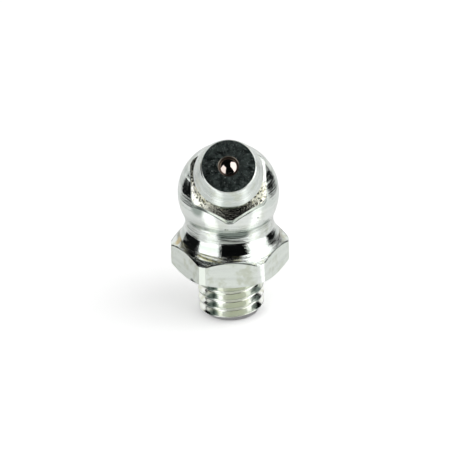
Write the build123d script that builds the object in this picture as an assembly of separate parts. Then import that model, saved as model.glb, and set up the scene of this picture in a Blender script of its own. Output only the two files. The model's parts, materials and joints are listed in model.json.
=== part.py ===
from build123d import *
from math import cos, pi, radians, sin, sqrt, tan
import os

# Angled grease nipple with a screwed shank, a hexagon, a ball-shaped end and a 45 degree coupling head.
# Frame: millimetres, +Z up the thread axis, origin on that axis at the seat face under the hexagon.
# The coupling head leans towards -Y. Its own lengths run along its axis from the centre of the ball end.

# Screwed shank, drawn plain over the thread crests
shank_dia = 6.2
shank_length = 4.9
thread_pitch = 25.4 / 28
thread_depth_share = 0.6134   # depth of a 60 degree thread with a flat root, over its pitch
outlet_dia = 2.5
outlet_edge = 0.2             # 45 degree break at the mouth of the outlet

# Hexagon
hex_across_flats = 10.0
hex_corner_cut = 0.22         # bar corners turned down by this much
hex_height = 2.67
hex_edge_inset = 0.05         # how far the turned edges start inside the flats
top_bevel_angle = 35.0        # from the seat plane
bottom_bevel_angle = 30.0

# Shoulder, cone and neck turned above the hexagon
shoulder_inset = 0.07         # inside the flats
shoulder_height = 0.6
cone_half_angle = 33.0
waist_dia = 8.3               # where the cone and the neck would meet without their round
neck_top_inset = 0.45         # the neck widens a little up to the ball end, and meets it this far inside
neck_length = 1.045
neck_round = 1.1
groove_width = 0.22
groove_depth = 0.12

# Ball-shaped end
end_dia = 9.5
lean = 45.0                   # head axis away from the thread axis
collar_seat_at = 2.6          # the collar is pressed this far into the ball end, and seats here

# Socket for the pressed-in head
spigot_dia = 4.4
press_interference = 0.02     # on the diameter
tail_gap = 0.8                # free depth under the tail of the head
drill_point_angle = 118.0
outlet_stops_short = 1.0      # the outlet bore ends this far below the centre of the ball end

# Collar of the head
collar_across_flats = 7.0
collar_corner_cut = 0.16
collar_thickness = 1.8
collar_bevel_angle = 30.0
collar_flat_dia = 5.8

# Grip of the head
head_neck_dia = 4.9
head_neck_length = 0.8
head_dia = 6.5
undercut_angle = 45.0
head_land = 0.3
land_round = 0.3
face_dia = 5.3
face_at = 8.65
face_edge = 0.12
undercut_round = 0.25

# Bore of the head
tail_at = -0.7
tail_edge = 0.3
tail_lip_thickness = 0.3
tail_lip_bore = 1.3
chamber_dia = 2.8
seat_half_angle = 40.0
mouth_dia = 1.86
mouth_depth = 0.23            # from the face to the ball seat, so that the ball stands just proud
mouth_edge = 0.06

# Check ball and its spring
ball_dia = 2.5
ball_seat_gap = 0.02
spring_wire_dia = 0.26
spring_mean_dia = 2.0
spring_turns = 6              # the first and the last lie closed
spring_closed_pitch = 1.05    # of a closed turn, over the wire
spring_end_gap = 0.02
wire_sides = 5
points_per_turn = 5

shank_radius = shank_dia / 2
corner_radius = hex_across_flats / sqrt(3) - hex_corner_cut
collar_corner_radius = collar_across_flats / sqrt(3) - collar_corner_cut
shoulder_radius = hex_across_flats / 2 - shoulder_inset
waist_radius = waist_dia / 2
end_radius = end_dia / 2
neck_top_radius = end_radius - neck_top_inset
shoulder_top = hex_height + shoulder_height
cone_top = shoulder_top + (shoulder_radius - waist_radius) / tan(radians(cone_half_angle))
neck_top = cone_top + neck_length
end_height = neck_top + sqrt(end_radius**2 - neck_top_radius**2)
collar_top = collar_seat_at + collar_thickness
seat_at = face_at - mouth_depth
socket_floor = tail_at - tail_gap
spring_low = tail_at + tail_lip_thickness + spring_wire_dia / 2 + spring_end_gap
head_place = Plane(
    origin=(0, 0, end_height),
    x_dir=(1, 0, 0),
    z_dir=(0, -sin(radians(lean)), cos(radians(lean))),
).location


def turned(outline, rounds=()):
    # Revolves an outline of (radius, height) points; each round is a corner of it and a radius.
    section = make_face(Polyline(*outline, close=True))
    for corner, radius in rounds:
        section = fillet(section.vertices().sort_by_distance((*corner, 0))[0], radius)
    return revolve(Plane.XZ * section, Axis.Z)


def hexagon(across_flats, height, turn=0.0):
    # Prism that stands on the local base plane.
    return extrude(RegularPolygon(across_flats / 2, 6, major_radius=False, rotation=turn), height)


def hex_base():
    # Corners run on X. The bevels top and bottom are turned on the bar before the flats show.
    edge_radius = hex_across_flats / 2 - hex_edge_inset
    bevel_run = corner_radius - edge_radius
    blank = turned([
        (0, 0),
        (edge_radius, 0),
        (corner_radius, bevel_run * tan(radians(bottom_bevel_angle))),
        (corner_radius, hex_height - bevel_run * tan(radians(top_bevel_angle))),
        (edge_radius, hex_height),
        (0, hex_height),
    ])
    return blank & hexagon(hex_across_flats, hex_height)


def shank():
    lead = thread_pitch * thread_depth_share
    return turned([
        (0, -shank_length),
        (shank_radius - lead, -shank_length),
        (shank_radius, lead - shank_length),
        (shank_radius, 0),
        (0, 0),
    ])


def cone_and_neck():
    outline = [
        (0, hex_height),
        (hex_across_flats / 2 - hex_edge_inset, hex_height),
        (shoulder_radius, shoulder_top),
        (waist_radius, cone_top),
        (neck_top_radius, neck_top),
        (0, end_height),
    ]
    return turned(outline, [((waist_radius, cone_top), neck_round)])


def neck_groove():
    # Tool mark left where the neck runs out under the ball end.
    floor_radius = neck_top_radius - groove_depth
    return turned([
        (floor_radius, neck_top - groove_width),
        (end_radius, neck_top - groove_width),
        (end_radius, neck_top),
        (floor_radius, neck_top),
    ])


def outlet_bore():
    radius = outlet_dia / 2
    return turned([
        (0, -shank_length),
        (radius + outlet_edge, -shank_length),
        (radius, outlet_edge - shank_length),
        (radius, end_height - outlet_stops_short),
        (0, end_height - outlet_stops_short),
    ])


def collar_prism(top):
    # Six flats with the corners turned down. One corner points down the lean.
    height = top - collar_seat_at
    bar = hexagon(collar_across_flats, height, 30) & extrude(Circle(collar_corner_radius), height)
    return Pos(0, 0, collar_seat_at) * bar


def head_socket():
    # Press bore with its drill point, and the bed of the collar, in the head's own lengths.
    radius = (spigot_dia - press_interference) / 2
    bore = turned([
        (0, socket_floor - radius / tan(radians(drill_point_angle / 2))),
        (radius, socket_floor),
        (radius, collar_seat_at),
        (0, collar_seat_at),
    ])
    return bore + collar_prism(end_radius)


def nipple_body():
    body = shank() + hex_base() + cone_and_neck() + Pos(0, 0, end_height) * Sphere(end_radius)
    return body - neck_groove() - outlet_bore() - head_place * head_socket()


def head_collar():
    # The upper bevel is turned, so each flat gets an arched top edge.
    corner = collar_corner_radius
    flat = collar_flat_dia / 2
    blank = turned([
        (0, collar_seat_at),
        (corner, collar_seat_at),
        (corner, collar_top - (corner - flat) * tan(radians(collar_bevel_angle))),
        (flat, collar_top),
        (0, collar_top),
    ])
    return blank & collar_prism(collar_top)


def head_outside():
    neck = head_neck_dia / 2
    grip = head_dia / 2
    spigot = spigot_dia / 2
    neck_top = collar_top + head_neck_length
    land_at = neck_top + (grip - neck) * tan(radians(undercut_angle))
    outline = [
        (0, tail_at),
        (spigot - tail_edge, tail_at),
        (spigot, tail_at + tail_edge),
        (spigot, collar_seat_at),
        (neck, collar_seat_at),
        (neck, neck_top),
        (grip, land_at),
        (grip, land_at + head_land),
        (face_dia / 2, face_at - face_edge),
        (face_dia / 2 - face_edge, face_at),
        (0, face_at),
    ]
    rounds = [
        ((neck, neck_top), undercut_round),
        ((grip, land_at), land_round),
        ((grip, land_at + head_land), land_round),
    ]
    return turned(outline, rounds)


def head_bore():
    # From the tail: crimped lip that holds the spring, chamber, conical ball seat, short open mouth.
    chamber = chamber_dia / 2
    mouth = mouth_dia / 2
    return turned([
        (0, tail_at),
        (tail_lip_bore / 2, tail_at),
        (tail_lip_bore / 2, tail_at + tail_lip_thickness),
        (chamber, tail_at + tail_lip_thickness),
        (chamber, seat_at - (chamber - mouth) / tan(radians(seat_half_angle))),
        (mouth, seat_at),
        (mouth, face_at - mouth_edge),
        (mouth + mouth_edge, face_at),
        (0, face_at),
    ])


def coupling_head():
    return head_place * (head_outside() + head_collar() - head_bore())


def ball_centre():
    # The ball stops short of touching its conical seat by the named gap.
    seat = radians(seat_half_angle)
    apex = seat_at + mouth_dia / 2 / tan(seat)
    return apex - (ball_dia / 2 + ball_seat_gap) / sin(seat)


def check_ball():
    return head_place * Pos(0, 0, ball_centre()) * Sphere(ball_dia / 2)


def spring_rise(turn, length):
    # Height of the wire after so many turns: closed at each end, evenly open between.
    closed = spring_wire_dia * spring_closed_pitch
    open_pitch = (length - 2 * closed) / (spring_turns - 2)
    if turn <= 1:
        return closed * turn
    if turn >= spring_turns - 1:
        return length - closed * (spring_turns - turn)
    return closed + open_pitch * (turn - 1)


def ball_spring():
    # Coils between the crimped lip and the underside of the ball, clear of both by the end gap.
    mean = spring_mean_dia / 2
    reach = (ball_dia + spring_wire_dia) / 2 + spring_end_gap
    length = ball_centre() - sqrt(reach**2 - mean**2) - spring_low
    route = []
    for step in range(spring_turns * points_per_turn + 1):
        turn = step / points_per_turn
        route.append((mean * cos(2 * pi * turn), mean * sin(2 * pi * turn), spring_rise(turn, length)))
    coils = Spline(*route)
    wire = Plane(origin=coils @ 0, z_dir=coils % 0) * RegularPolygon(spring_wire_dia / 2, wire_sides)
    return head_place * Pos(0, 0, spring_low) * sweep(wire, path=coils, is_frenet=True)


pieces = {
    "nipple_body": nipple_body(),
    "coupling_head": coupling_head(),
    "check_ball": check_ball(),
    "ball_spring": ball_spring(),
}

os.makedirs("parts", exist_ok=True)
for name, piece in pieces.items():
    export_step(piece, f"parts/{name}.step")
    print(name, round(piece.volume, 3), "mm3")
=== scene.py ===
import bmesh
import bpy
import json
import numpy as np
from math import ceil, cos, pi, radians, sin, sqrt, tan
from mathutils import Matrix, Vector


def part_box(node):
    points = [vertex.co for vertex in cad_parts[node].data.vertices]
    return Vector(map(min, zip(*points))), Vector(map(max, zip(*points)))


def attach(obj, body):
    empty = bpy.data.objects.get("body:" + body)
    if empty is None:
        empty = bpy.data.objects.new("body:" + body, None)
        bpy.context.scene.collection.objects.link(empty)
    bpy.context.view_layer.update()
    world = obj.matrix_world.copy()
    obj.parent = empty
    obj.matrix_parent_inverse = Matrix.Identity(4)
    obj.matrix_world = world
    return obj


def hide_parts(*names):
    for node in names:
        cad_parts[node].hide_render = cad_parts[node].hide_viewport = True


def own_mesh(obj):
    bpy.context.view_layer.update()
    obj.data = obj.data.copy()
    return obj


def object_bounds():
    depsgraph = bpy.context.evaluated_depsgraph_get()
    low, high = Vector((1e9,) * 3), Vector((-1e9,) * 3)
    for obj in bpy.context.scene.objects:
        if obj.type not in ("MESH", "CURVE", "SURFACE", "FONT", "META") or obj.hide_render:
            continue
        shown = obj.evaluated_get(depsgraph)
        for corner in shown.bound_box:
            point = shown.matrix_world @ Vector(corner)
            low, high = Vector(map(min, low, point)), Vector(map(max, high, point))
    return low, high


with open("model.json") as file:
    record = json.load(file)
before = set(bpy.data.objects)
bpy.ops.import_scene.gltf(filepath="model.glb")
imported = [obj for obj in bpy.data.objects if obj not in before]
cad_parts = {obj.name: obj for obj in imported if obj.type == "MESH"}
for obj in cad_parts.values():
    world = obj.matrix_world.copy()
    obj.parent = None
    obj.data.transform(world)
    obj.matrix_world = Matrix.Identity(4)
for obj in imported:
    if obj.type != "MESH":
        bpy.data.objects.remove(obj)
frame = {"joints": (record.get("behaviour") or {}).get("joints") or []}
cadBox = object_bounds()
mm = 0.001

# The head axis comes from the valve's joint, and the ball end's centre is where it meets the thread axis.
valveJoint = [joint for joint in frame["joints"] if joint["name"] == "valve_travel"][0]
headAxis = -Vector(valveJoint["axis"]).normalized()
ballLow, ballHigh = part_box("check_ball")
ballCentre = (ballLow + ballHigh) / 2
endCentre = ballCentre - headAxis * (ballCentre.y / headAxis.y)
headTurn = Vector((0, 0, 1)).rotation_difference(headAxis).to_matrix().to_4x4()
headPlace = Matrix.Translation(endCentre / mm) @ headTurn
floorHeight = cadBox[0].z
print("frame loaded, head axis", tuple(round(v, 3) for v in headAxis))


# Everything on the part is drawn in millimetres, and Shell.build turns it to metres.
shankEnd = floorHeight / mm
endHeight = endCentre.z / mm


def evenAngles(count):
    return np.arange(count) * 2 * pi / count


def arcKeys(radius, start, end, count):
    # Keys of a ball's outline. The angles are up from its middle, and may be one value per column.
    return [(radius * np.cos(a), radius * np.sin(a)) for a in np.linspace(start, end, count)]


def ringPoints(radius, height, angles):
    return np.stack([radius * np.cos(angles), radius * np.sin(angles), height], -1)


def outlineRows(keys, rounds, step, columns):
    # Rows of (radius, height) for every column. A key is a pair of numbers or of one value per column,
    # and rounds gives the edge radius at a key by its index. Also says which stretch each row belongs to.
    bends = 4             # rows in a round
    roomShare = 0.45      # of a stretch, for the round at one of its ends
    shortest = 1e-9
    keys = [np.stack([np.broadcast_to(part, columns) for part in key], -1) for key in keys]
    spans = [end - start for start, end in zip(keys, keys[1:])]
    lengths = [np.linalg.norm(span, axis=-1) for span in spans]
    ways = [span / np.maximum(length, shortest)[:, None] for span, length in zip(spans, lengths)]
    trims = [np.zeros(columns) for key in keys]
    for index, radius in rounds.items():
        straight = np.sum(ways[index - 1] * ways[index], -1)
        turn = np.arccos(np.clip(straight, -1, 1))
        room = np.minimum(lengths[index - 1], lengths[index]) * roomShare
        trims[index] = np.minimum(radius * np.tan(turn / 2), room)
    rows, stretches = [keys[0]], []
    for index, (start, end) in enumerate(zip(keys, keys[1:])):
        first = start + ways[index] * trims[index][:, None]
        last = end - ways[index] * trims[index + 1][:, None]
        count = max(1, ceil(lengths[index].max() / step))
        for k in range(1, count + 1):
            rows.append(first + (last - first) * k / count)
            stretches.append(index)
        if index + 1 in rounds:
            leave = end + ways[index + 1] * trims[index + 1][:, None]
            for k in range(1, bends + 1):
                t = k / bends
                rows.append(last * (1 - t) ** 2 + end * 2 * t * (1 - t) + leave * t ** 2)
                stretches.append(index if t <= 0.5 else index + 1)
    return np.array(rows), stretches


def hexColumns(shape):
    # Angles in radians, close together at the edges of each corner land and wider along the flats.
    landHalf = 30 - np.degrees(np.arccos(shape["acrossFlats"] / 2 / shape["corner"]))
    half = [landHalf * share for share in (0, 0.35, 0.7, 0.85, 0.94, 1.0, 1.06, 1.15, 1.35, 1.7, 2.2)]
    half += list(np.linspace(half[-1], 30, 16)[1:-1])
    sector = sorted([-a for a in half[1:]] + half) + [30]
    return np.radians(np.concatenate([np.array(sector) + shape["firstCorner"] + 60 * k for k in range(6)]))


def hexLimit(angles, shape):
    # Distance from the axis to the side of a hexagon with turned-down corners, and where that is a flat.
    fromCorner = (np.degrees(angles) - shape["firstCorner"] + 30) % 60 - 30
    flat = shape["acrossFlats"] / 2 / np.cos(np.radians(30 - np.abs(fromCorner)))
    near = np.clip(shape["edgeRound"] - np.abs(flat - shape["corner"]), 0, None)
    limit = np.minimum(flat, shape["corner"]) - near ** 2 / shape["edgeRound"] / 4
    return limit, flat < shape["corner"]


class Shell:
    # Gathers grids of points into one mesh. Each point keeps its place along the turned outline,
    # which the turning marks follow, and each face keeps its finish, a number in the list of materials.
    def __init__(self):
        self.points, self.turning, self.faces, self.finish, self.count = [], [], [], [], 0

    def addGrid(self, points, finish, turning=None, place=None, ringShift=0):
        # The last column joins the first. With a ringShift it joins that many rows on, as a helix does.
        rows, columns = points.shape[:2]
        if turning is None:
            gaps = np.linalg.norm(np.diff(points, axis=0), axis=-1).mean(1)
            turning = np.repeat(np.concatenate([[0], np.cumsum(gaps)])[:, None], columns, 1)
        flat = points.reshape(-1, 3)
        if place is not None:
            flat = flat @ np.array(place.to_3x3()).T + np.array(place.to_translation())
        index = np.arange(rows * columns).reshape(rows, columns) + self.count
        whole = np.concatenate([index, np.roll(index, -ringShift, 0)[:, :1]], 1)[:rows - ringShift]
        quads = np.stack([whole[:-1, :-1], whole[:-1, 1:], whole[1:, 1:], whole[1:, :-1]], -1)
        self.faces.append(quads.reshape(-1, 4))
        self.finish.append(np.broadcast_to(finish, quads.shape[:2]).reshape(-1))
        self.points.append(flat)
        self.turning.append(turning.reshape(-1))
        self.count += rows * columns

    def addTurned(self, keys, rounds, step, angles, finishes, place=None):
        # finishes gives each stretch of the outline one finish, or one for each column.
        rows, stretches = outlineRows(keys, rounds, step, len(angles))
        finish = np.array([np.broadcast_to(finishes[s], len(angles)) for s in stretches])
        self.addGrid(ringPoints(rows[..., 0], rows[..., 1], angles), finish, place=place)

    def addStretches(self, stretches, step, angles, place=None):
        # A stretch is the key it starts at, the edge radius there and the finish from there on.
        keys, radii, finishes = zip(*stretches)
        rounds = {index: radius for index, radius in enumerate(radii) if radius}
        self.addTurned(keys, rounds, step, angles, finishes, place)

    def build(self, name, materials, cuts=()):
        mesh = bpy.data.meshes.new(name)
        points = np.concatenate(self.points) * mm
        mesh.from_pydata(points.tolist(), [], np.concatenate(self.faces).tolist())
        marks = mesh.attributes.new("turning", "FLOAT", "POINT")
        marks.data.foreach_set("value", np.concatenate(self.turning).astype(np.float32))
        for material in materials:
            mesh.materials.append(material)
        mesh.polygons.foreach_set("material_index", np.concatenate(self.finish).astype(np.int32))
        piece = bpy.data.objects.new(name, mesh)
        bpy.context.scene.collection.objects.link(piece)
        trimMesh(mesh, cuts)
        return piece


def trimMesh(mesh, cuts):
    # A cut is (finishes, point, normal): faces of those finishes past the plane are removed.
    onPlane, sliver, weld = 1e-8, 1e-7, 2e-7     # metres
    work = bmesh.new()
    work.from_mesh(mesh)
    for finishes, point, normal in cuts:
        faces = [face for face in work.faces if face.material_index in finishes]
        # Kept in order and without repeats, so that every run gives the same mesh.
        edges = dict.fromkeys(edge for face in faces for edge in face.edges)
        verts = dict.fromkeys(vert for face in faces for vert in face.verts)
        bmesh.ops.bisect_plane(work, geom=[*verts, *edges, *faces], plane_co=point, plane_no=normal,
                               clear_outer=True, dist=onPlane)
    bmesh.ops.remove_doubles(work, verts=work.verts, dist=weld)
    bmesh.ops.dissolve_degenerate(work, edges=work.edges, dist=sliver)
    for face in work.faces:
        face.smooth = True
    work.to_mesh(mesh)
    work.free()
    mesh.update()


def linearColour(hexText):
    channels = [int(hexText[k:k + 2], 16) / 255 for k in (1, 3, 5)]
    linear = [c / 12.92 if c <= 0.04045 else ((c + 0.055) / 1.055) ** 2.4 for c in channels]
    return (*linear, 1.0)


def addNode(tree, kind, settings=None, links=None):
    # Settings are attributes or inputs. Links join an input, by name or number, to a node's first output
    # or to the output given.
    node = tree.nodes.new("ShaderNode" + kind)
    for key, value in (settings or {}).items():
        if isinstance(key, int) or key in node.inputs:
            node.inputs[key].default_value = value
        else:
            setattr(node, key, value)
    for key, source in (links or {}).items():
        tree.links.new(getattr(source, "outputs", [source])[0], node.inputs[key])
    return node


def newMaterial(name):
    material = bpy.data.materials.new(name)
    material.use_nodes = True
    material.node_tree.nodes.clear()
    return material, material.node_tree


def placeInMm(tree):
    place = addNode(tree, "TexCoord").outputs["Object"]
    return addNode(tree, "VectorMath", {"operation": "SCALE", "Scale": 1 / mm}, {0: place})


def platedSteel(name, look):
    # Zinc plate over machined steel: bright, cold and faintly green, with the tool's lines or the bar's
    # grain still in it. The lines run round the piece, because they follow its outline's own length.
    material, tree = newMaterial(name)
    inMm = placeInMm(tree)
    turning = addNode(tree, "Attribute", {"attribute_name": "turning"}).outputs["Fac"]
    across = addNode(tree, "Math", {"operation": "MULTIPLY", 1: 1 / look["markSpacing"]}, {0: turning})
    sideways = addNode(tree, "CombineXYZ", links={0: across})
    along = addNode(tree, "VectorMath", {"operation": "SCALE", "Scale": 1 / look["markLength"]}, {0: inMm})
    markPlace = addNode(tree, "VectorMath", {"operation": "ADD"}, {0: along, 1: sideways})
    marks = addNode(tree, "TexNoise", {"Scale": 1.0, "Detail": 3.0, "Roughness": 0.55},
                    {"Vector": markPlace})
    bands = addNode(tree, "TexNoise", {"Scale": look["bandScale"], "Detail": 1.0}, {"Vector": markPlace})
    grain, cloud = [addNode(tree, "TexNoise", {"Scale": 1 / look[size], "Detail": 3.0, "Roughness": 0.6},
                            {"Vector": inMm}) for size in ("grainSize", "stainSize")]

    dulled = addNode(tree, "MapRange", {"From Min": 0.35, "From Max": 0.65}, {"Value": bands})
    stained = addNode(tree, "MapRange", {"From Min": 0.5, "From Max": 0.66, "To Max": look["stainShare"]},
                      {"Value": cloud})
    speckled = addNode(tree, "MapRange", {"From Min": look["speckFrom"],
                                          "From Max": look["speckFrom"] + 0.04}, {"Value": grain})
    colour = addNode(tree, "Mix", {"data_type": "RGBA", 6: linearColour(look["light"]),
                                   7: linearColour(look["dull"])}, {0: dulled}).outputs[2]
    coats = [(stained, look["stain"]), (speckled, look["speck"])]
    # Patches: stains, worn spots and darker spots, and in some finishes painted shade or painted highlights.
    patchPlace = addNode(tree, "VectorMath", {"operation": "MULTIPLY", 1: look["patchScale"]}, {0: inMm})
    for *centre, reach, shade in look["patches"]:
        away = addNode(tree, "VectorMath", {"operation": "DISTANCE", 1: centre}, {0: patchPlace})
        inPatch = addNode(tree, "MapRange", {"From Min": reach / 2, "From Max": reach, "To Min": 1.0,
                                             "To Max": 0.0}, {"Value": away.outputs["Value"]})
        coats.append((inPatch, shade))
    for share, shade in coats:
        colour = addNode(tree, "Mix", {"data_type": "RGBA", 7: linearColour(shade)},
                         {0: share, 6: colour}).outputs[2]

    rough = addNode(tree, "MapRange", {"From Min": 0.3, "From Max": 0.7, "To Min": look["roughness"] * 0.75,
                                       "To Max": look["roughness"] * 1.3}, {"Value": marks})
    lines = addNode(tree, "Math", {"operation": "MULTIPLY_ADD", 1: look["bandDepth"]}, {0: bands, 2: marks})
    bump = addNode(tree, "Bump", {"Strength": 1.0, "Distance": look["markDepth"] * mm}, {"Height": lines})
    bump = addNode(tree, "Bump", {"Strength": 1.0, "Distance": look["grainDepth"] * mm},
                   {"Height": grain, "Normal": bump})
    shader = addNode(tree, "BsdfPrincipled", {"Metallic": 1.0},
                     {"Base Color": colour, "Roughness": rough, "Normal": bump})
    addNode(tree, "OutputMaterial", links={"Surface": shader})
    return material


def paintedDarkFace(look):
    # End face painted dark blue-grey, a painted reflection of the dark room: cloudy, and scuffed by couplers
    # outwards from the valve.
    material, tree = newMaterial("face_painted_dark_reflection")
    inMm = placeInMm(tree)
    outward = addNode(tree, "VectorMath", {"operation": "SUBTRACT", 1: look["middle"]}, {0: inMm})
    ray = addNode(tree, "VectorMath", {"operation": "NORMALIZE"}, {0: outward})
    slow = addNode(tree, "VectorMath", {"operation": "SCALE", "Scale": 1 / look["scuffLength"]}, {0: inMm})
    fast = addNode(tree, "VectorMath", {"operation": "SCALE", "Scale": look["scuffsRound"]}, {0: ray})
    scuffPlace = addNode(tree, "VectorMath", {"operation": "ADD"}, {0: slow, 1: fast})
    scuffs = addNode(tree, "TexNoise", {"Scale": 1.0, "Detail": 4.0, "Roughness": 0.7},
                     {"Vector": scuffPlace})
    cloud = addNode(tree, "TexNoise", {"Scale": 1 / look["cloudSize"], "Detail": 5.0, "Roughness": 0.65,
                                       "Distortion": 0.8}, {"Vector": inMm})
    grain = addNode(tree, "TexNoise", {"Scale": 1 / look["grainSize"], "Detail": 3.0, "Roughness": 0.7},
                    {"Vector": inMm})

    clouded = addNode(tree, "MapRange", {"From Min": 0.36, "From Max": 0.62}, {"Value": cloud})
    scuffed = addNode(tree, "MapRange", {"From Min": 0.52, "From Max": 0.72, "To Max": look["scuffShare"]},
                      {"Value": scuffs})
    speckled = addNode(tree, "MapRange", {"From Min": 0.6, "From Max": 0.7, "To Max": look["speckShare"]},
                       {"Value": grain})
    colour = addNode(tree, "Mix", {"data_type": "RGBA", 6: linearColour(look["dark"]),
                                   7: linearColour(look["pale"])}, {0: clouded}).outputs[2]
    for share, shade in ((scuffed, look["scuff"]), (speckled, look["speck"])):
        colour = addNode(tree, "Mix", {"data_type": "RGBA", 7: linearColour(shade)},
                         {0: share, 6: colour}).outputs[2]

    bump = addNode(tree, "Bump", {"Strength": 1.0, "Distance": look["grainDepth"] * mm}, {"Height": grain})
    bump = addNode(tree, "Bump", {"Strength": 1.0, "Distance": look["cloudDepth"] * mm},
                   {"Height": cloud, "Normal": bump})
    shader = addNode(tree, "BsdfPrincipled", {"Metallic": 1.0, "Roughness": look["roughness"]},
                     {"Base Color": colour, "Normal": bump})
    addNode(tree, "OutputMaterial", links={"Surface": shader})
    return material


def bareSteel(name, look):
    # Unplated steel, a little hazier in some places than in others.
    material, tree = newMaterial(name)
    haze = addNode(tree, "TexNoise", {"Scale": 1 / look["hazeSize"], "Detail": look["hazeDetail"]},
                   {"Vector": placeInMm(tree)})
    rough = addNode(tree, "MapRange", {"From Min": 0.3, "From Max": 0.7, "To Min": look["smoothest"],
                                       "To Max": look["roughest"]}, {"Value": haze})
    colour = addNode(tree, "Mix", {"data_type": "RGBA", 6: linearColour(look["light"]),
                                   7: linearColour(look["dull"])}, {0: haze}).outputs[2]
    shader = addNode(tree, "BsdfPrincipled", {"Metallic": 1.0}, {"Base Color": colour, "Roughness": rough})
    addNode(tree, "OutputMaterial", links={"Surface": shader})
    return material


# Sizes are in millimetres. Tool marks and grain are finer than this on the real piece, and are drawn as
# coarse as they need to show. A patch is a place, its reach and its colour: a stain, a worn spot or a darker
# spot, or painted shade or a painted highlight where its finish says so.
# Every finish below starts from this one.
turnedLook = {
    "light": "#e8ede9", "dull": "#cdd5cf", "stain": "#c6cab2", "stainShare": 0.25, "stainSize": 1.6,
    "speck": "#6f7472", "speckFrom": 0.9, "grainSize": 0.25, "grainDepth": 0.006, "roughness": 0.14,
    "markSpacing": 0.12, "markDepth": 0.012, "markLength": 6.0,
    "bandScale": 0.22,           # some bands of marks are deeper and duller, and each is over four marks wide
    "bandDepth": 3.0,
    "patches": [], "patchScale": (1, 1, 1),
}
# Painted shade along the lower bevel under the hexagon's left-front flat.
lowerBevelPaintedShade = [(-3.75, -3.7, 0.12, 0.4, "#3c433f"), (-3.35, -3.95, 0.08, 0.36, "#3c433f")]
# Finish-turned: fine even lines that spread each highlight across them. The two dark patches under the
# head's grip are painted shade, and the lower bevel carries painted shade too.
turnedZinc = platedSteel("turned_zinc_plate", {
    **turnedLook, "stainShare": 0.5, "stainSize": 1.0, "roughness": 0.25, "markDepth": 0.006,
    "patches": [(-0.4, -6.1, 9.0, 1.15, "#4f5b53"), (0.4, -6.1, 9.0, 1.15, "#4f5b53"), *lowerBevelPaintedShade],
})
# Form-turned ball: bright, with broad soft bands round it. Its grey-green patches beside the neck and under
# the collar's left are painted shade; the three small dots are only darker spots.
endZinc = platedSteel("ball_end_zinc_plate", {
    **turnedLook, "light": "#f0f4f0", "dull": "#d0d8d2", "grainDepth": 0.012, "roughness": 0.09,
    "markSpacing": 0.18, "markDepth": 0.045, "markLength": 3.0,
    "patches": [
        (-3.09, -2.8, 5.26, 0.8, "#9aa89e"), (3.23, -2.66, 5.29, 0.8, "#9aa89e"),
        (-3.0, -3.6, 7.8, 0.9, "#a3ada6"), (2.63, -3.9, 6.85, 0.1, "#3c403e"),
        (-0.45, -4.47, 5.98, 0.1, "#4c504e"), (-0.25, -4.47, 5.98, 0.08, "#4c504e"),
    ],
})
# Turned with a sharp tool: nearly a mirror, with ragged edges to all that it reflects.
coneZinc = platedSteel("cone_turned_zinc_plate", {
    **turnedLook, "light": "#e9edea", "roughness": 0.05, "markSpacing": 0.1, "markDepth": 0.018,
    "markLength": 4.0, "bandDepth": 1.6,
})
# Rough-turned where the tool ran out: deep lines, dull green in the grooves. The row of darker patches
# across its front is painted shade.
neckZinc = platedSteel("neck_rough_turned_zinc_plate", {
    **turnedLook, "dull": "#98a395", "stain": "#b4ba9a", "stainShare": 0.4, "stainSize": 0.7,
    "roughness": 0.12, "markSpacing": 0.22, "markDepth": 0.13, "markLength": 2.5,
    "patches": [
        (-0.75, -4.05, 5.15, 0.62, "#87928a"), (-0.2, -4.05, 5.17, 0.62, "#87928a"),
        (0.35, -4.05, 5.19, 0.62, "#87928a"), (0.9, -4.05, 5.21, 0.62, "#87928a"),
        (1.4, -4.05, 5.23, 0.62, "#87928a"),
    ],
})
tanStain = (-4.8, -0.6, 2.9, 0.6, "#c6b78f")     # left on the hexagon's edge and the foot of the cone
# Turned across the bar's corners: short broken marks and an olive stain.
hexBevelZinc = platedSteel("hexagon_bevel_zinc_plate", {
    **turnedLook, "stain": "#b9bb94", "stainShare": 0.5, "stainSize": 0.6, "grainSize": 0.16,
    "grainDepth": 0.035, "roughness": 0.1, "markDepth": 0.03, "markLength": 1.0, "patches": [tanStain],
})
# Torn by a worn tool: fine dark tears. On its right they fade out under pale patches of painted highlight.
shoulderZinc = platedSteel("torn_turned_zinc_plate", {
    **turnedLook, "dull": "#62634a", "stain": "#b9b88e", "stainShare": 0.6, "stainSize": 0.5,
    "speck": "#2c302e", "speckFrom": 0.62, "grainSize": 0.12, "grainDepth": 0.01, "roughness": 0.08,
    "markSpacing": 0.05, "markDepth": 0.026, "markLength": 0.4,
    "patches": [
        tanStain, (1.6, -4.5, 2.9, 0.9, "#e8ede9"), (2.6, -4.0, 2.9, 1.0, "#e8ede9"),
        (3.6, -3.2, 2.9, 1.1, "#e8ede9"), (4.4, -2.0, 2.9, 1.2, "#e8ede9"),
    ],
})
# Cold-drawn bar, not machined: flat, satin, with pale clouds. The dark patch on the collar's left-front
# flat is painted shade, and so are the patches along the lower bevel.
barZinc = platedSteel("drawn_bar_zinc_plate", {
    **turnedLook, "light": "#e9efe8", "dull": "#dbe1da", "stain": "#bac0a6", "stainShare": 0.5,
    "stainSize": 0.9, "grainSize": 0.5, "grainDepth": 0.012, "roughness": 0.16, "markDepth": 0.0005,
    "patches": [(-2.56, -4.14, 8.05, 0.85, "#46544e"), *lowerBevelPaintedShade],
})
# A strip along the top edge of each flat: thin, dark and broken.
darkStripZinc = platedSteel("dark_edge_strip_zinc_plate", {
    **turnedLook, "light": "#2b2f2d", "dull": "#50564f", "stain": "#c6cbc4", "stainShare": 1.0,
    "stainSize": 0.5,
})
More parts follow.
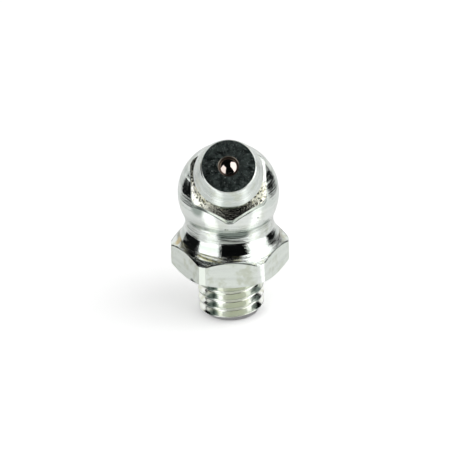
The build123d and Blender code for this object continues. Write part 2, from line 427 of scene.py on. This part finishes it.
# Corners turned down: narrow bright lands. The dark spot at the collar's lowest corner is painted shade;
# the hexagon's left-front land is greyer.
landZinc = platedSteel("corner_land_zinc_plate", {
    **turnedLook, "light": "#edf1ed", "dull": "#dde3dd", "stainShare": 0.35, "roughness": 0.1,
    "patches": [(0.0, -4.94, 6.98, 0.34, "#5d625f"), (-2.78, -4.81, 1.3, 2.0, "#cfd5cd")],
})
# Rolled thread: smooth and bright. Its patches are painted reflection of the shaded floor: a creamy grey
# band down the front and darker stripes down the left and the right.
threadZinc = platedSteel("rolled_thread_zinc_plate", {
    **turnedLook, "light": "#fafbf8", "dull": "#d5dbd0", "stain": "#c9cbb0", "stainShare": 0.5,
    "stainSize": 0.9, "grainSize": 0.2, "grainDepth": 0.008, "roughness": 0.08, "markDepth": 0.006,
    "patches": [
        (0.45, -3.05, 0, 1.45, "#dadecf"), (-1.96, -2.3, 0, 0.6, "#7d8982"), (2.52, -1.75, 0, 0.6, "#8d9791"),
    ],
    "patchScale": (1, 1, 0),     # these run down the whole thread
})
# Roughly cut bevel of the collar: speckled, with dark pits. The grey patches along its front are painted
# shade, and the pale ones at its left and right are painted highlights.
bevelZinc = platedSteel("sawn_bevel_zinc_plate", {
    **turnedLook, "light": "#dedfd2", "dull": "#b4b5a6", "stain": "#8d8a66", "stainShare": 0.8,
    "stainSize": 0.25, "speck": "#232521", "speckFrom": 0.53, "grainSize": 0.2, "grainDepth": 0.05,
    "roughness": 0.1, "markDepth": 0.004,
    "patches": [
        (-1.5, -4.6, 7.875, 1.3, "#8a8b82"), (-0.5, -4.6, 7.525, 1.3, "#8a8b82"),
        (0.5, -4.6, 7.525, 1.3, "#8a8b82"), (1.5, -4.6, 7.875, 1.3, "#8a8b82"),
        (3.3, -1.7, 11.6, 1.0, "#dfe4df"), (3.3, -2.6, 10.7, 1.0, "#dfe4df"),
        (-3.55, -3.4, 9.9, 0.45, "#f4f4ec"), (-3.5, -3.9, 9.4, 0.5, "#f4f4ec"),
        (-3.2, -4.4, 8.9, 0.5, "#f4f4ec"),
    ],
})
# Drilled and hardly plated inside: dull and brownish.
boreZinc = platedSteel("drilled_bore_plate", {
    **turnedLook, "light": "#877c75", "dull": "#726861", "roughness": 0.3,
})
# Ground and polished chrome steel: a near-perfect mirror with a warm cast.
bearingSteel = bareSteel("polished_bearing_steel", {
    "light": "#d8cec8", "dull": "#c6b8b0", "hazeSize": 0.3, "hazeDetail": 2.0,
    "smoothest": 0.03, "roughest": 0.07,
})
# Drawn music wire, oiled and dull grey.
springSteel = bareSteel("drawn_spring_wire", {
    "light": "#8f8d88", "dull": "#6e6d69", "hazeSize": 0.08, "hazeDetail": 3.0,
    "smoothest": 0.25, "roughest": 0.4,
})
print("materials made")


hexShape = {
    "acrossFlats": 10.0, "firstCorner": 0.0, "edgeRound": 0.06,
    "corner": min(cadBox[1].x, -cadBox[0].x) / mm,     # its lands just reach the sides of the CAD box
}
collarShape = {"acrossFlats": 7.0, "firstCorner": 30.0, "edgeRound": 0.05, "corner": 7.0 / sqrt(3) - 0.16}
body = {
    "shankRadius": 3.1, "pitch": 25.4 / 28, "threadDepth": 0.6134, "crestFlat": 0.125,
    "flankAngle": 30.0, "crestRound": 0.05, "rootRound": 0.1,
    "threadStart": -83.0,     # where a crest passes the height below, in degrees round the axis
    "crestHeight": -4.22,
    "runOut": (0.95, 0.3),    # the thread fades between these distances under the hexagon
    "outletRadius": 1.25, "outletEdge": 0.2,
    "outletTop": 1.0,         # the outlet may end this far below the middle of the ball end
    "hexHeight": 2.67, "edgeInset": 0.05, "darkStripWidth": 0.12, "upperBevel": 35.0, "lowerBevel": 30.0,
    "footRadius": 4.62, "footTop": 3.17, "coneHalfAngle": 23.0,
    "waistRadius": 4.15, "neckRadius": 4.04, "neckSwell": 0.12, "neckTopInset": 0.45, "neckRound": 1.1,
    "grooveWidth": 0.15, "grooveDepth": 0.06,
    "grooveReach": 28.0,      # degrees each way from the front
    "endRadius": 4.75, "pressCrease": 0.02, "creaseDepth": 0.05, "creaseRound": 0.04, "socketRadius": 2.19,
    "socketFloor": -1.5, "tail": -0.7, "drillPoint": 118.0, "drillTip": 0.02,
    # How finely each form is drawn: a step along its outline, or a number of columns or rows.
    "threadStep": 0.08, "threadColumns": 200, "outsideStep": 0.12, "endStep": 0.14, "endRows": 110,
    "outletStep": 0.3, "socketStep": 0.12, "boreColumns": 96, "boreHeights": 600,
}
bodyFinishes = {
    "thread": threadZinc, "turned": turnedZinc, "cone": coneZinc, "shoulder": shoulderZinc, "bar": barZinc,
    "land": landZinc, "bore": boreZinc, "end": endZinc, "neck": neckZinc, "bevel": hexBevelZinc,
    "darkStrip": darkStripZinc,
}
finishOf = {name: number for number, name in enumerate(bodyFinishes)}


def addThread(shell, part):
    # Rings follow the helix, so that every crest and root is one clean line. Planes trim both ends.
    pitch, outside = part["pitch"], part["shankRadius"]
    depth = part["threadDepth"] * pitch
    root = outside - depth
    flank = depth * tan(radians(part["flankAngle"]))
    crest = part["crestFlat"] * pitch / 2
    turns = ceil(-shankEnd / pitch) + 2
    keys, rounds = [], {}
    for k in range(turns):
        base = k * pitch
        top = base + pitch
        corner = len(keys)
        keys += [(outside, base), (outside, base + crest), (root, base + crest + flank),
                 (root, top - crest - flank), (outside, top - crest)]
        rounds.update({corner + 1: part["crestRound"], corner + 2: part["rootRound"],
                       corner + 3: part["rootRound"], corner + 4: part["crestRound"]})
    keys.append((outside, turns * pitch))
    angles = evenAngles(part["threadColumns"])
    rows = outlineRows(keys, rounds, part["threadStep"], len(angles))[0]
    climb = pitch * (angles / (2 * pi)) - part["threadStart"] / 360 * pitch
    height = rows[..., 1] + part["crestHeight"] - pitch + climb
    chamfer = root + (height - shankEnd)
    out, done = part["runOut"]
    fade = root + (height + out) * depth / (out - done)
    radius = np.maximum(np.minimum(rows[..., 0], chamfer), fade)
    radius = np.minimum(radius, outside)
    shell.addGrid(ringPoints(radius, height, angles), finishOf["thread"], turning=height,
                  ringShift=(len(rows) - 1) // turns)
    return root


def addHexAndNeck(shell, part):
    angles = hexColumns(hexShape)
    limit, onFlat = hexLimit(angles, hexShape)
    edge = hexShape["acrossFlats"] / 2 - part["edgeInset"]
    darkStrip = limit - np.minimum(part["darkStripWidth"], (limit - edge) / 2)
    lowerSlope, upperSlope = tan(radians(part["lowerBevel"])), tan(radians(part["upperBevel"]))
    foot, waist = part["footRadius"], part["waistRadius"]
    neck = part["endRadius"] - part["neckTopInset"]
    coneTop = part["footTop"] + (foot - waist) / tan(radians(part["coneHalfAngle"]))
    # The tool ran out in the neck at the front, so the groove is deepest there.
    fromFront = (np.degrees(angles) + 270) % 360 - 180
    atFront = np.exp(-(fromFront / part["grooveReach"]) ** 4)
    neckHere = part["neckRadius"] + part["neckSwell"] * (1 - atFront)
    grooved = neckHere - part["grooveDepth"] * atFront
    neckTop = endHeight - sqrt(part["endRadius"] ** 2 - neck ** 2)
    groove = neckTop - part["grooveWidth"]
    side = np.where(onFlat, finishOf["bar"], finishOf["land"])
    stripOrBevel = np.where(onFlat, finishOf["darkStrip"], finishOf["bevel"])
    stretches = [
        ((part["shankRadius"], 0), 0, finishOf["turned"]),
        ((edge, 0), 0.04, finishOf["turned"]),
        ((limit, (limit - edge) * lowerSlope), 0.05, side),
        ((limit, part["hexHeight"] - (limit - edge) * upperSlope), 0.03, stripOrBevel),
        ((darkStrip, part["hexHeight"] - (darkStrip - edge) * upperSlope), 0, finishOf["bevel"]),
        ((edge, part["hexHeight"]), 0.4, finishOf["shoulder"]),
        ((foot, part["footTop"]), 0.5, finishOf["cone"]),
        ((waist, coneTop), part["neckRound"], finishOf["neck"]),
        ((neckHere, groove), 0.04, finishOf["neck"]),
        ((grooved, groove), 0.03, finishOf["neck"]),
        ((grooved, neckTop), 0.03, finishOf["neck"]),
        ((neck, neckTop), 0, None),
    ]
    shell.addStretches(stretches, part["outsideStep"], angles)
    return neckTop


def addBallEnd(shell, part):
    # Drawn about the head axis: the ball starts at the pressed-in collar's outline, behind a thin crease.
    # Its turning marks still run round the thread axis, where the lathe made them.
    angles = hexColumns(collarShape)
    limit = hexLimit(angles, collarShape)[0]
    radius, crease = part["endRadius"], part["pressCrease"]
    start = np.arccos((limit + crease) / radius)
    keys = [(limit + crease / 3, radius * np.sin(start) - part["creaseDepth"])]
    keys += arcKeys(radius, start, -pi / 2 * 0.98, part["endRows"])     # the neck hides the last of it
    rows = outlineRows(keys, {1: part["creaseRound"]}, part["endStep"], len(angles))[0]
    points = ringPoints(rows[..., 0], rows[..., 1], angles)
    rise = (points @ np.array(headTurn.to_3x3()).T)[..., 2] / radius
    turning = radius * np.arcsin(np.clip(rise, -1, 1))
    shell.addGrid(points, finishOf["end"], turning=turning, place=headPlace)


def addBores(shell, part, root):
    # The outlet rises to the socket's drill point; each column of its wall ends on that cone.
    angles = evenAngles(part["boreColumns"])
    radius = part["outletRadius"]
    socket, socketFloor = part["socketRadius"], part["socketFloor"]
    slope = tan(radians(part["drillPoint"] / 2))
    top = np.full(len(angles), endHeight - part["outletTop"])
    heights = np.linspace(shankEnd, endHeight, part["boreHeights"])
    inverse = np.array(headPlace.inverted().to_3x3())
    origin = np.array(headPlace.to_translation())
    for column, angle in enumerate(angles):
        line = ringPoints(np.full(len(heights), radius), heights, angle)
        local = (line - origin) @ inverse.T
        away = np.hypot(local[:, 0], local[:, 1])
        inside = (away < socket) & (local[:, 2] > socketFloor - (socket - away) / slope)
        if inside.any():
            top[column] = min(top[column], heights[inside.argmax()])
    edge = part["outletEdge"]
    keys = [(root, shankEnd), (radius + edge, shankEnd), (radius, shankEnd + edge), (radius, top)]
    shell.addTurned(keys, {}, part["outletStep"], angles, [finishOf["bore"]] * 3)
    keys = [(part["drillTip"], socketFloor - socket / slope), (socket, socketFloor), (socket, part["tail"])]
    rows = outlineRows(keys, {}, part["socketStep"], len(angles))[0]
    points = ringPoints(rows[..., 0], rows[..., 1], angles)
    shell.addGrid(points[::-1], finishOf["bore"], place=headPlace)


shell = Shell()
rootRadius = addThread(shell, body)
neckTop = addHexAndNeck(shell, body)
addBallEnd(shell, body)
addBores(shell, body, rootRadius)
nippleSteel = shell.build("turned_nipple_body", bodyFinishes.values(), [
    ({finishOf["thread"]}, (0, 0, floorHeight), (0, 0, -1)),
    ({finishOf["thread"]}, (0, 0, 0), (0, 0, 1)),
    ({finishOf["end"]}, (0, 0, neckTop * mm), (0, 0, -1)),
])
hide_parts("nipple_body")
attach(nippleSteel, "nipple")
print("nipple body made", len(nippleSteel.data.polygons))


head = {
    "tail": -0.7, "tailEdge": 0.3, "spigot": 2.2, "seat": 2.6,
    "collarThickness": 1.8, "collarBevel": 30.0, "collarFlat": 2.9,
    "neckRadius": 2.45, "neckLength": 0.8, "undercutRound": 0.25,
    "gripRadius": 3.25, "undercutAngle": 45.0, "gripLand": 0.3, "gripRound": 0.3,
    "faceRadius": 2.61, "face": 8.65, "faceEdge": 0.12,
    "mouthRadius": 0.93, "mouthDepth": 0.23, "mouthEdge": 0.06, "seatHalfAngle": 40.0,
    "chamberRadius": 1.4, "lipThickness": 0.3, "lipBore": 0.65,
    "step": 0.1,     # along the outline, between rows
}
faceWithPaintedDark = paintedDarkFace({
    "middle": tuple((endCentre + headAxis * head["face"] * mm) / mm),     # where the head axis meets the face
    "dark": "#181d1c", "pale": "#5c6865", "cloudSize": 0.75, "cloudDepth": 0.03,
    "scuff": "#8f9a98", "scuffShare": 0.6, "scuffLength": 0.5, "scuffsRound": 3.0,
    "speck": "#c4cecb", "speckShare": 0.9, "grainSize": 0.17, "grainDepth": 0.02, "roughness": 0.36,
})
headFinishes = {"bore": boreZinc, "turned": turnedZinc, "bevel": bevelZinc, "face": faceWithPaintedDark, "bar": barZinc,
                "land": landZinc}


def makeHead(part):
    angles = hexColumns(collarShape)
    limit, onFlat = hexLimit(angles, collarShape)
    bore, turned, bevel, face, bar, land = range(len(headFinishes))     # in the order above
    side = np.where(onFlat, bar, land)
    collarTop = part["seat"] + part["collarThickness"]
    neckTop = collarTop + part["neckLength"]
    landStart = neckTop + (part["gripRadius"] - part["neckRadius"]) * tan(radians(part["undercutAngle"]))
    seatTop = part["face"] - part["mouthDepth"]
    seatFoot = seatTop - (part["chamberRadius"] - part["mouthRadius"]) / tan(radians(part["seatHalfAngle"]))
    inner = part["tail"] + part["lipThickness"]
    upper = collarTop - (limit - part["collarFlat"]) * tan(radians(part["collarBevel"]))
    # Up the outside, over the face and back down the bore.
    stretches = [
        ((part["lipBore"], part["tail"]), 0, bore),
        ((part["spigot"] - part["tailEdge"], part["tail"]), 0, bore),
        ((part["spigot"], part["tail"] + part["tailEdge"]), 0, bore),
        ((part["spigot"], part["seat"]), 0, bore),
        ((limit, part["seat"]), 0.03, side),
        ((limit, upper), 0.04, bevel),
        ((part["collarFlat"], collarTop), 0.1, bevel),
        ((part["neckRadius"], collarTop), 0.15, turned),
        ((part["neckRadius"], neckTop), part["undercutRound"], turned),
        ((part["gripRadius"], landStart), part["gripRound"], turned),
        ((part["gripRadius"], landStart + part["gripLand"]), part["gripRound"], turned),
        ((part["faceRadius"], part["face"] - part["faceEdge"]), 0.04, turned),
        ((part["faceRadius"] - part["faceEdge"], part["face"]), 0.04, face),
        ((part["mouthRadius"] + part["mouthEdge"], part["face"]), 0.03, bore),
        ((part["mouthRadius"], part["face"] - part["mouthEdge"]), 0.03, bore),
        ((part["mouthRadius"], seatTop), 0.02, bore),
        ((part["chamberRadius"], seatFoot), 0, bore),
        ((part["chamberRadius"], inner), 0, bore),
        ((part["lipBore"], inner), 0, bore),
        ((part["lipBore"], part["tail"]), 0, None),
    ]
    shell = Shell()
    shell.addStretches(stretches, part["step"], angles, place=headPlace)
    return shell.build("turned_coupling_head", headFinishes.values())


couplingSteel = makeHead(head)
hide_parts("coupling_head")
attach(couplingSteel, "nipple")
print("coupling head made", len(couplingSteel.data.polygons))


valve = {
    "ballRadius": (ballHigh.x - ballLow.x) / 2 / mm, "ballRows": 60, "ballColumns": 96,
    "wire": 0.26, "meanRadius": 1.0, "turns": 6, "closedPitch": 1.05, "endGap": 0.02,
    "wireSides": 14, "perTurn": 48,
}


def makeBall(part):
    pole = pi / 2 * 0.995     # the hole left at each pole is too small to see
    keys = arcKeys(part["ballRadius"], -pole, pole, part["ballRows"])
    shell = Shell()
    shell.addTurned(keys, {}, 1.0, evenAngles(part["ballColumns"]), [0] * len(keys),
                    place=Matrix.Translation(ballCentre / mm) @ headTurn)
    return shell.build("polished_check_ball", [bearingSteel])


def makeSpring(part):
    # Coils between the crimped lip and the underside of the ball; the first and the last lie closed.
    wireRadius, turns = part["wire"] / 2, part["turns"]
    low = head["tail"] + head["lipThickness"] + wireRadius + part["endGap"]
    reach = part["ballRadius"] + wireRadius + part["endGap"]
    length = (ballCentre - endCentre).length / mm - sqrt(reach ** 2 - part["meanRadius"] ** 2) - low
    closed = part["wire"] * part["closedPitch"]
    turn = np.arange(turns * part["perTurn"] + 1) / part["perTurn"]
    rise = np.interp(turn, [0, 1, turns - 1, turns], [0, closed, length - closed, length])
    angle = 2 * pi * turn
    centre = ringPoints(part["meanRadius"], low + rise, angle)
    outward = ringPoints(1, np.zeros(len(angle)), angle)
    along = np.gradient(centre, axis=0)
    along /= np.linalg.norm(along, axis=-1)[:, None]
    sideways = np.cross(along, outward)
    around = evenAngles(part["wireSides"])[:, None]
    rings = outward[:, None] * np.cos(around) + sideways[:, None] * np.sin(around)
    rings = centre[:, None] + wireRadius * rings
    ends = [centre[k, None, None].repeat(part["wireSides"], 1) for k in (0, -1)]
    shell = Shell()
    shell.addGrid(np.concatenate([ends[0], rings, ends[1]]), 0, place=headPlace)
    return shell.build("coiled_valve_spring", [springSteel]), low, length


checkBall = makeBall(valve)
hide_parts("check_ball")
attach(checkBall, "ball")

valveSpring, springLow, springLength = makeSpring(valve)
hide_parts("ball_spring")
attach(valveSpring, "nipple")
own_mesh(valveSpring)
print("valve made")


# A white sweep and backdrop, softboxes, black cloth and cards that only mirrors show, and glowing strips on
# the sweep that only mirrors show too: painted reflections of its brightest paper. Lengths are in metres.
# Softboxes and cards have corners of (azimuth, elevation) as the nipple sees them, and sheets on the floor
# have corners of (azimuth, distance).
stage = {
    "floorRadius": 1.5, "floorSides": 96, "floorWhite": "#f6f6f6", "floorLift": 0.31,
    "backdrop": 1.0, "ambient": 0.5, "black": "#141516",
    "boxDistance": 0.35, "rightLevel": 1.8, "leftLevel": 1.5, "keyLevel": 1.5,
    "rightBox": [(46, 0), (26, 52), (66, 74), (116, 68), (112, 28), (92, 0)],
    "leftBox": [(-26, 0), (-26, 43), (-76, 50), (-76, 0)],
    "keyBox": [(5, 42), (5, 76), (85, 76), (85, 42)],
    "cardDistance": 0.07,
    "rightCard": [(96, -3.9), (96, 17), (138, 20), (138, -3.9)],
    "leftCard": [(-80, -3.9), (-80, 16), (-127, 16), (-127, -3.9)],
    "sheetLift": 0.0002,         # sheets lie this far above the floor
    "rightFoot": [(102, 0.048), (102, 0.07), (138, 0.07), (138, 0.048)],
    "leftFoot": [(-84, 0.04), (-84, 0.07), (-127, 0.07), (-127, 0.04)],
    "rightGlowStrip": [(50, 0.004), (50, 0.07), (72, 0.07), (72, 0.004)],
    "leftGlowStrip": [(-30, 0.004), (-30, 0.07), (-58, 0.07), (-58, 0.004)],
    "glowStripLevel": 1.35,
    "cloth": [(-26, 0.048), (44, 0.048), (44, 0.8), (-26, 0.8)],     # azimuth, and how far ahead
    "roomRadius": 0.9, "roomPanel": (4, 5), "roomHalfWidth": 112, "ceilingFrom": 35,     # degrees
}


def direction(azimuth, elevation):
    # Azimuth 0 is straight ahead of the nipple, plus is to the right.
    a, e = radians(azimuth), radians(elevation)
    return Vector((sin(a) * cos(e), -cos(a) * cos(e), sin(e)))


def uprightPanel(name, distance):
    return [direction(*corner) * distance for corner in stage[name]]


def floorSheet(corners):
    lift = Vector((0, 0, floorHeight + stage["sheetLift"]))
    return [direction(azimuth, 0) * away + lift for azimuth, away in corners]


def addStagePiece(name, points, material, faces=None, lamp=False):
    # Lamps light the floor; black pieces and the glowing strips of painted reflection show in mirrors alone,
    # and the key light shows in none.
    mesh = bpy.data.meshes.new(name)
    mesh.from_pydata(points, [], faces or [list(range(len(points)))])
    mesh.materials.append(material)
    piece = bpy.data.objects.new(name, mesh)
    bpy.context.scene.collection.objects.link(piece)
    piece.visible_camera = name == "floor"
    piece.visible_shadow = name == "floor"
    piece.visible_diffuse = name == "floor" or lamp
    piece.visible_glossy = name != "key_softbox"


def glowingSurface(name, level):
    material, tree = newMaterial(name)
    glow = addNode(tree, "Emission", {"Color": (1, 1, 1, 1), "Strength": level})
    addNode(tree, "OutputMaterial", links={"Surface": glow})
    return material


def makeFloor():
    # The camera sees the paper a little whiter than its shading alone.
    material, tree = newMaterial("white_paper_sweep")
    paper = addNode(tree, "BsdfDiffuse", {"Color": linearColour(stage["floorWhite"])})
    seen = addNode(tree, "LightPath").outputs["Is Camera Ray"]
    lift = addNode(tree, "Math", {"operation": "MULTIPLY", 1: stage["floorLift"]}, {0: seen})
    glow = addNode(tree, "Emission", {"Color": (1, 1, 1, 1)}, {"Strength": lift})
    both = addNode(tree, "AddShader", links={0: paper, 1: glow})
    addNode(tree, "OutputMaterial", links={"Surface": both})
    angles = evenAngles(stage["floorSides"])
    points = ringPoints(stage["floorRadius"], np.full(len(angles), floorHeight), angles)
    addStagePiece("floor", points.tolist(), material)


def makeBlacks():
    # The unlit room, open behind the nipple below its ceiling, with the table's cloth and the cards.
    black, tree = newMaterial("black_cloth")
    cloth = addNode(tree, "BsdfDiffuse", {"Color": linearColour(stage["black"])})
    addNode(tree, "OutputMaterial", links={"Surface": cloth})
    wide, high = stage["roomPanel"]
    azimuths, elevations = np.arange(-180, 180 + wide, wide), np.arange(0, 90 + high, high)
    points = [direction(a, e) * stage["roomRadius"] for e in elevations for a in azimuths]
    row = len(azimuths)
    faces = [[r * row + c, r * row + c + 1, (r + 1) * row + c + 1, (r + 1) * row + c]
             for r, e in enumerate(elevations[:-1]) for c, a in enumerate(azimuths[:-1])
             if abs(a + wide / 2) < stage["roomHalfWidth"] or e >= stage["ceilingFrom"]]
    addStagePiece("unlit_room", points, black, faces)
    corners = [(azimuth, ahead / cos(radians(azimuth))) for azimuth, ahead in stage["cloth"]]
    addStagePiece("table_cloth", floorSheet(corners), black)
    for name in ("rightFoot", "leftFoot"):
        addStagePiece(name, floorSheet(stage[name]), black)
    for name in ("rightCard", "leftCard"):
        addStagePiece(name, uprightPanel(name, stage["cardDistance"]), black)


def makeGlowStrips():
    # Glowing strips of the sweep that only mirrors show: painted reflections of the paper where the softboxes
    # light it most.
    lit = glowingSurface("painted_reflection_glow", stage["glowStripLevel"])
    for name in ("leftGlowStrip", "rightGlowStrip"):
        addStagePiece(name, floorSheet(stage[name]), lit)


def makeBoxes():
    for side in ("right", "left", "key"):
        cloth = glowingSurface(side + "_softbox_cloth", stage[side + "Level"])
        addStagePiece(side + "_softbox", uprightPanel(side + "Box", stage["boxDistance"]), cloth, lamp=True)


def makeWorld():
    # White to the eye and in mirrors, and dimmer as the room's own light.
    world = bpy.data.worlds.new("white_backdrop")
    world.use_nodes = True
    tree = world.node_tree
    tree.nodes.clear()
    rays = addNode(tree, "LightPath").outputs
    seen = addNode(tree, "Math", links={0: rays["Is Camera Ray"], 1: rays["Is Glossy Ray"]})
    seen = addNode(tree, "Math", {"use_clamp": True}, {0: seen, 1: rays["Is Transmission Ray"]})
    level = addNode(tree, "MapRange", {"To Min": stage["ambient"], "To Max": stage["backdrop"]},
                    {"Value": seen})
    glow = addNode(tree, "Background", {"Color": (1, 1, 1, 1)}, {"Strength": level})
    addNode(tree, "OutputWorld", links={"Surface": glow})
    bpy.context.scene.world = world


makeFloor()
makeBlacks()
makeGlowStrips()
makeBoxes()
makeWorld()
print("stage set")


shot = {
    "target": (-0.4, 0.0, 4.0),     # millimetres
    "elevation": 29.38, "azimuth": -0.8, "roll": 1.67, "distance": 0.6, "lens": 512.0, "sensor": 36.0,
    "nearClip": 0.01, "farClip": 10.0,
}


def makeCamera():
    camera = bpy.data.cameras.new("camera")
    camera.lens = shot["lens"]
    camera.sensor_width = shot["sensor"]
    camera.clip_start = shot["nearClip"]
    camera.clip_end = shot["farClip"]
    view = bpy.data.objects.new("camera", camera)
    towards = direction(shot["azimuth"], shot["elevation"])
    place = towards.to_track_quat("Z", "Y").to_matrix().to_4x4()
    place @= Matrix.Rotation(-radians(shot["roll"]), 4, "Z")
    place.translation = Vector(shot["target"]) * mm + towards * shot["distance"]
    view.matrix_world = place
    bpy.context.scene.collection.objects.link(view)
    bpy.context.scene.camera = view
    bpy.context.scene.view_settings.view_transform = "Standard"


makeCamera()
print("camera set")
